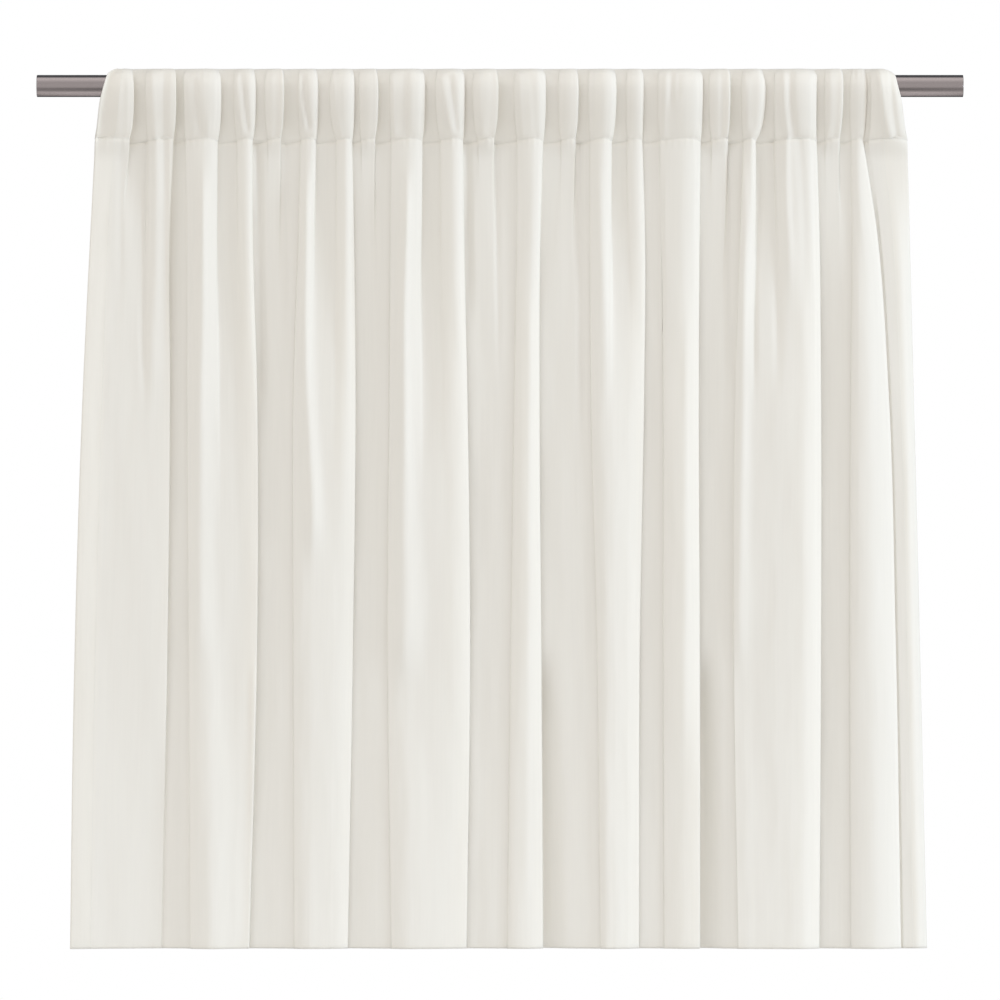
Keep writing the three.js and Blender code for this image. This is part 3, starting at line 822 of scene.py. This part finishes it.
def layered_cloth(grid, normals, side):
    """Places and faces of the cloth, with its hems and the pocket's turn as second layers behind
    it, and the column and the row of the grid that each place comes from."""
    last = len(grid.places) - 1
    columns = [(i, 1) for i in range(side, -1, -1)]
    columns += [(i, 0) for i in range(last + 1)]
    columns += [(i, 1) for i in range(last, last - side - 1, -1)]
    rows = [(k, 1) for k in range(HEM_ROWS, -1, -1)]
    rows += [(k, 0) for k in range(grid.places.shape[1])]
    rows += [(grid.seam_row - k, 1) for k in range(1, TURN_ROWS + 1)]
    vertices = []
    sources = []
    for i, side_layer in columns:
        in_hem = 1 if i <= side or i >= last - side else 0
        for k, lower_layer in rows:
            layers = side_layer + lower_layer * (1 + in_hem)
            vertices.append((grid.places[i, k] - normals[i, k] * LAYER_GAP * layers) * MM)
            sources.append((i, k))
    depth = len(rows)
    faces = []
    for i in range(len(columns) - 1):
        for k in range(depth - 1):
            a = i * depth + k
            faces.append((a, a + depth, a + depth + 1, a + 1))
    return vertices, faces, np.array(sources)


def deselect_all():
    for obj in bpy.context.selected_objects:
        obj.select_set(False)


def new_object(name, vertices, faces, material):
    mesh = bpy.data.meshes.new(name)
    mesh.from_pydata(vertices, [], faces)
    mesh.update()
    mesh.shade_smooth()
    mesh.materials.append(material)
    obj = bpy.data.objects.new(name, mesh)
    bpy.context.scene.collection.objects.link(obj)
    return obj


def add_node(tree, kind, inputs=None, **settings):
    """Adds a node with its settings, and links or sets each of its named or numbered inputs. A node
    that is given to an input gives it its first output."""
    node = tree.nodes.new(kind)
    for name, value in settings.items():
        setattr(node, name, value)
    for name, value in (inputs or {}).items():
        if isinstance(value, bpy.types.Node):
            value = value.outputs[0]
        if isinstance(value, bpy.types.NodeSocket):
            tree.links.new(value, node.inputs[name])
        else:
            node.inputs[name].default_value = value
    return node


def new_material(name):
    material = bpy.data.materials.new(name)
    material.use_nodes = True
    material.node_tree.nodes.clear()
    return material, material.node_tree


def voile_material():
    """Polyester voile, a plain weave of fine hard-spun yarn."""
    # Its yarn leaves it matt, it lets part of the light through, and its threads are a little
    # uneven, which shows as faint upright streaks.
    cloth = bpy.context.scene.curtain_cloth
    material, tree = new_material("polyester_voile")
    flat = add_node(tree, "ShaderNodeUVMap", uv_map="flat_cloth")
    streak_place = add_node(tree, "ShaderNodeMapping", {"Vector": flat, "Scale": STREAK_SCALE})
    streaks = add_node(tree, "ShaderNodeTexNoise", {
        "Vector": streak_place, "Scale": 1.0, "Detail": 3.0})
    shade = add_node(tree, "ShaderNodeMapRange", {
        "Value": streaks, "From Min": 0.3, "From Max": 0.7, "To Min": 0.98, "To Max": 1.0})
    colour = add_node(tree, "ShaderNodeVectorMath", {
        0: (*cloth.colour,), "Scale": shade}, operation="SCALE")
    # The real thread pitch is about 0.35 mm, finer than the picture can show.
    threads = {"Vector": flat, "Scale": WAVE_TEXTURE_LENGTH / cloth.thread_pitch}
    warp = add_node(tree, "ShaderNodeTexWave", threads, bands_direction="X")
    weft = add_node(tree, "ShaderNodeTexWave", threads, bands_direction="Y")
    weave = add_node(tree, "ShaderNodeMath", {
        0: warp.outputs["Fac"], 1: weft.outputs["Fac"]}, operation="MAXIMUM")
    relief = add_node(tree, "ShaderNodeMath", {
        0: streaks, 1: STREAK_RELIEF, 2: weave}, operation="MULTIPLY_ADD")
    bump = add_node(tree, "ShaderNodeBump", {
        "Height": relief, "Strength": 0.35, "Distance": 0.05 * MM})
    front = add_node(tree, "ShaderNodeBsdfPrincipled", {
        "Base Color": colour, "Roughness": 0.85, "Normal": bump,
        "Specular IOR Level": 0.25, "Sheen Weight": 0.12, "Sheen Roughness": 0.5})
    through = add_node(tree, "ShaderNodeBsdfTranslucent", {
        "Color": (*cloth.glow, 1), "Normal": bump})
    surface = add_node(tree, "ShaderNodeMixShader", {0: cloth.through, 1: front, 2: through})
    add_node(tree, "ShaderNodeOutputMaterial", {"Surface": surface})
    return material


def thread_material():
    """Spun polyester sewing thread."""
    # It is a shade denser and shinier than the cloth.
    material, tree = new_material("polyester_sewing_thread")
    place = add_node(tree, "ShaderNodeTexCoord").outputs["Object"]
    twist = add_node(tree, "ShaderNodeTexWave", {"Vector": place, "Scale": TWIST_SCALE},
                     bands_direction="DIAGONAL")
    bump = add_node(tree, "ShaderNodeBump", {
        "Height": twist.outputs["Fac"], "Strength": 0.3, "Distance": 0.05 * MM})
    surface = add_node(tree, "ShaderNodeBsdfPrincipled", {
        "Base Color": (*bpy.context.scene.curtain_stitches.colour, 1), "Roughness": 0.55,
        "Normal": bump})
    add_node(tree, "ShaderNodeOutputMaterial", {"Surface": surface})
    return material


def rod_material():
    """Satin metal, brushed lengthwise under a thin clear lacquer."""
    # The brushing draws reflections out across the rod, so that it shows long bands.
    material, tree = new_material("brushed_nickel_plated_steel")
    place = add_node(tree, "ShaderNodeTexCoord").outputs["Object"]
    stretched = add_node(tree, "ShaderNodeMapping", {"Vector": place, "Scale": BRUSHING_SCALE})
    scratches = add_node(tree, "ShaderNodeTexNoise", {
        "Vector": stretched, "Scale": 1.0, "Detail": 2.0})
    rough = add_node(tree, "ShaderNodeMapRange", {
        "Value": scratches, "To Min": 0.16, "To Max": 0.26})
    bump = add_node(tree, "ShaderNodeBump", {
        "Height": scratches, "Strength": 0.15, "Distance": 0.02 * MM})
    surface = add_node(tree, "ShaderNodeBsdfPrincipled", {
        "Base Color": (*bpy.context.scene.curtain_rod.colour, 1), "Metallic": 1.0,
        "Roughness": rough, "Normal": bump})
    add_node(tree, "ShaderNodeOutputMaterial", {"Surface": surface})
    return material


class CURTAIN_OT_panel(bpy.types.Operator):
    """Makes the gathered panel as one thin sheet with its hems turned, and its stitches"""

    bl_idname = "curtain.panel"
    bl_label = "Make Panel"

    def execute(self, context):
        cloth = context.scene.curtain_cloth
        grid = Grid(cloth.lower_hem / MM)
        normals = normals_of(grid.places)
        normals[[0, -1], :, 0] = 0  # the hems don't stand out past the free edges
        from_side = lengths_along(grid.places[:, grid.seam_row // 2])
        from_hem = lengths_along(grid.places[len(grid.places) // 2])
        side = int(np.searchsorted(from_side, cloth.side_hem / MM))
        vertices, faces, sources = layered_cloth(grid, normals, side)
        panel = new_object("curtain_cloth", vertices, faces, voile_material())
        flat = np.stack([from_side[sources[:, 0]], from_hem[sources[:, 1]]], axis=-1) * MM
        layer = panel.data.uv_layers.new(name="flat_cloth")
        corners = np.array([loop.vertex_index for loop in panel.data.loops])
        layer.uv.foreach_set("vector", flat[corners].ravel())
        thread_vertices = []
        thread_faces = []
        for points, outward in sewn_lines(grid, normals, side, cloth.lower_hem / MM):
            vertices, faces = stitches_along(points, outward, context.scene.curtain_stitches)
            first = len(thread_vertices)
            thread_vertices += vertices
            thread_faces += [tuple(first + i for i in face) for face in faces]
        thread = new_object("seam_stitches", thread_vertices, thread_faces, thread_material())
        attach(panel, "root")
        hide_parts("curtain_panel")
        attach(thread, "root")
        return {"FINISHED"}


class CURTAIN_OT_rod(bpy.types.Operator):
    """Makes the round rod with its square-cut ends"""

    bl_idname = "curtain.rod"
    bl_label = "Make Rod"

    def execute(self, context):
        low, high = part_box("rod")
        deselect_all()
        bpy.ops.mesh.primitive_cylinder_add(
            vertices=ROUND_SIDES, radius=(high.z - low.z) / 2, depth=high.x - low.x,
            location=(low + high) / 2, rotation=(0, math.pi / 2, 0))
        rod = context.object
        rod.name = "rod_bar"
        bpy.ops.object.transform_apply(location=True, rotation=True, scale=True)
        bpy.ops.object.mode_set(mode="EDIT")
        bpy.ops.mesh.select_all(action="DESELECT")
        bpy.ops.object.mode_set(mode="OBJECT")
        for face in rod.data.polygons:
            face.select = abs(face.normal.x) > END_NORMAL
        bpy.ops.object.mode_set(mode="EDIT")
        bpy.ops.mesh.bevel(offset=context.scene.curtain_rod.chamfer, segments=CHAMFER_SEGMENTS,
                           affect="EDGES")
        bpy.ops.object.mode_set(mode="OBJECT")
        bpy.ops.object.shade_smooth_by_angle(angle=SHARP_ANGLE)
        rod.data.materials.append(rod_material())
        rod.select_set(False)
        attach(rod, "root")
        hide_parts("rod")
        return {"FINISHED"}


def studio_world():
    """A white studio, bright before the curtain and above it, and dim behind it. The camera sees
    plain white."""
    world = bpy.data.worlds.new("white_studio")
    bpy.context.scene.world = world
    world.use_nodes = True
    tree = world.node_tree
    tree.nodes.clear()
    way = add_node(tree, "ShaderNodeTexCoord").outputs["Generated"]
    parts = add_node(tree, "ShaderNodeSeparateXYZ", {0: way}).outputs
    height = add_node(tree, "ShaderNodeMapRange", {
        "Value": parts["Z"], "From Min": -1.0, "From Max": 1.0})
    behind = add_node(tree, "ShaderNodeMapRange", {
        "Value": parts["Y"], "From Min": -1.0, "From Max": 1.0})
    aside = add_node(tree, "ShaderNodeMath", {0: parts["X"]}, operation="ABSOLUTE")
    in_strip = add_node(tree, "ShaderNodeMapRange", {
        "Value": aside, "From Min": STRIP_ASIDE[0], "From Max": STRIP_ASIDE[1],
        "To Min": 1.0, "To Max": 0.0})
    by_height = add_ramp(tree, height, WORLD_BY_HEIGHT)
    by_depth = add_ramp(tree, behind, WORLD_BY_DEPTH)
    strip = add_ramp(tree, height, STRIP_BY_HEIGHT)
    by_place = add_node(tree, "ShaderNodeMixRGB", {0: in_strip, 1: (1, 1, 1, 1), 2: strip})
    even = add_node(tree, "ShaderNodeVectorMath", {
        0: by_height, 1: by_depth}, operation="MULTIPLY")
    room = add_node(tree, "ShaderNodeVectorMath", {0: even, 1: by_place}, operation="MULTIPLY")
    lit = add_node(tree, "ShaderNodeBackground", {"Color": room, "Strength": WORLD_STRENGTH})
    seen = add_node(tree, "ShaderNodeBackground", {"Color": (1, 1, 1, 1), "Strength": 1.0})
    is_seen = add_node(tree, "ShaderNodeLightPath").outputs["Is Camera Ray"]
    both = add_node(tree, "ShaderNodeMixShader", {0: is_seen, 1: lit, 2: seen})
    add_node(tree, "ShaderNodeOutputWorld", {"Surface": both})


def add_ramp(tree, share, stops):
    """A ramp of light over share, from stops of (place, grey or colour)."""
    ramp = add_node(tree, "ShaderNodeValToRGB", {"Fac": share})
    while len(ramp.color_ramp.elements) < len(stops):
        ramp.color_ramp.elements.new(0.5)
    for element, (place, value) in zip(ramp.color_ramp.elements, stops):
        element.position = place
        element.color = (*np.broadcast_to(value, 3), 1)
    return ramp


def add_light(name, lamp, place, target):
    """An area light at a place, which points at target."""
    deselect_all()
    bpy.ops.object.light_add(type="AREA", location=place)
    light = bpy.context.object
    light.name = name
    light.data.size = lamp.size
    light.data.energy = lamp.power
    light.data.color = lamp.colour
    aim = np.array(target) - np.array(place)
    light.rotation_euler = (
        math.acos(-aim[2] / np.linalg.norm(aim)), 0, math.atan2(aim[1], aim[0]) - math.pi / 2)
    light.visible_camera = False
    light.select_set(False)
    return light


def floor_material():
    """Matt pale studio floor paint."""
    material, tree = new_material("matt_floor_paint")
    place = add_node(tree, "ShaderNodeTexCoord").outputs["Object"]
    clouds = add_node(tree, "ShaderNodeTexNoise", {"Vector": place, "Scale": 3.0})
    tone = add_node(tree, "ShaderNodeMapRange", {
        "Value": clouds, "To Min": 0.75, "To Max": 0.79})
    surface = add_node(tree, "ShaderNodeBsdfPrincipled", {"Base Color": tone, "Roughness": 0.8})
    add_node(tree, "ShaderNodeOutputMaterial", {"Surface": surface})
    return material


class CURTAIN_OT_studio(bpy.types.Operator):
    """Makes the plain floor, the soft light and the camera"""

    bl_idname = "curtain.studio"
    bl_label = "Make Studio"

    def execute(self, context):
        studio = context.scene.curtain_studio
        floor_z = HEM_Z * MM - studio.floor_gap
        deselect_all()
        bpy.ops.mesh.primitive_circle_add(
            vertices=ROUND_SIDES, radius=FLOOR_RADIUS, fill_type="NGON",
            location=(0, FLOOR_Y, floor_z))
        floor = context.object
        floor.name = "studio_floor"
        bpy.ops.object.transform_apply(location=True, rotation=True, scale=True)
        floor.data.materials.append(floor_material())
        floor.select_set(False)
        studio_world()
        add_light("key_light", KEY_LAMP, KEY_LAMP[:3], (0, 0, studio.view_height))
        # Light on the floor that only gloss takes up, for the bands on the rod's lower half
        place = (FLOOR_LAMP.x, FLOOR_LAMP.y, floor_z + FLOOR_LAMP.z)
        shine = add_light("floor_shine", FLOOR_LAMP, place, (FLOOR_LAMP.x, FLOOR_LAMP.y, 0))
        shine.visible_diffuse = False
        shine.visible_transmission = False
        bpy.ops.object.camera_add(
            location=(0, -studio.camera_distance, studio.view_height), rotation=(math.pi / 2, 0, 0))
        camera = context.object
        camera.data.sensor_width = SENSOR_WIDTH
        camera.data.lens = SENSOR_WIDTH * studio.camera_distance / studio.view_width
        context.scene.camera = camera
        context.scene.view_settings.view_transform = "Standard"
        return {"FINISHED"}


class CURTAIN_PT_panel(bpy.types.Panel):
    """Lists the sizes and colours, and the pieces to make"""

    bl_idname = "CURTAIN_PT_panel"
    bl_label = "Voile Curtain"
    bl_space_type = "VIEW_3D"
    bl_region_type = "UI"
    bl_category = "Curtain"

    def draw(self, context):
        for group in ("curtain_cloth", "curtain_stitches", "curtain_rod", "curtain_studio"):
            box = self.layout.box()
            settings = getattr(context.scene, group)
            for name in settings.__annotations__:
                box.prop(settings, name)
        for operator in (CURTAIN_OT_panel, CURTAIN_OT_rod, CURTAIN_OT_studio):
            self.layout.operator(operator.bl_idname)


GROUPS = {
    "curtain_cloth": ClothSettings,
    "curtain_stitches": StitchSettings,
    "curtain_rod": RodSettings,
    "curtain_studio": StudioSettings,
}
CLASSES = [*GROUPS.values(), CURTAIN_OT_panel, CURTAIN_OT_rod, CURTAIN_OT_studio, CURTAIN_PT_panel]


def register():
    for cls in CLASSES:
        bpy.utils.register_class(cls)
    for name, group in GROUPS.items():
        setattr(bpy.types.Scene, name, PointerProperty(type=group))


def unregister():
    for name in GROUPS:
        delattr(bpy.types.Scene, name)
    for cls in reversed(CLASSES):
        bpy.utils.unregister_class(cls)


def main():
    register()
    bpy.ops.curtain.studio()
    bpy.ops.curtain.panel()
    bpy.ops.curtain.rod()


if __name__ == "__main__":
    main()
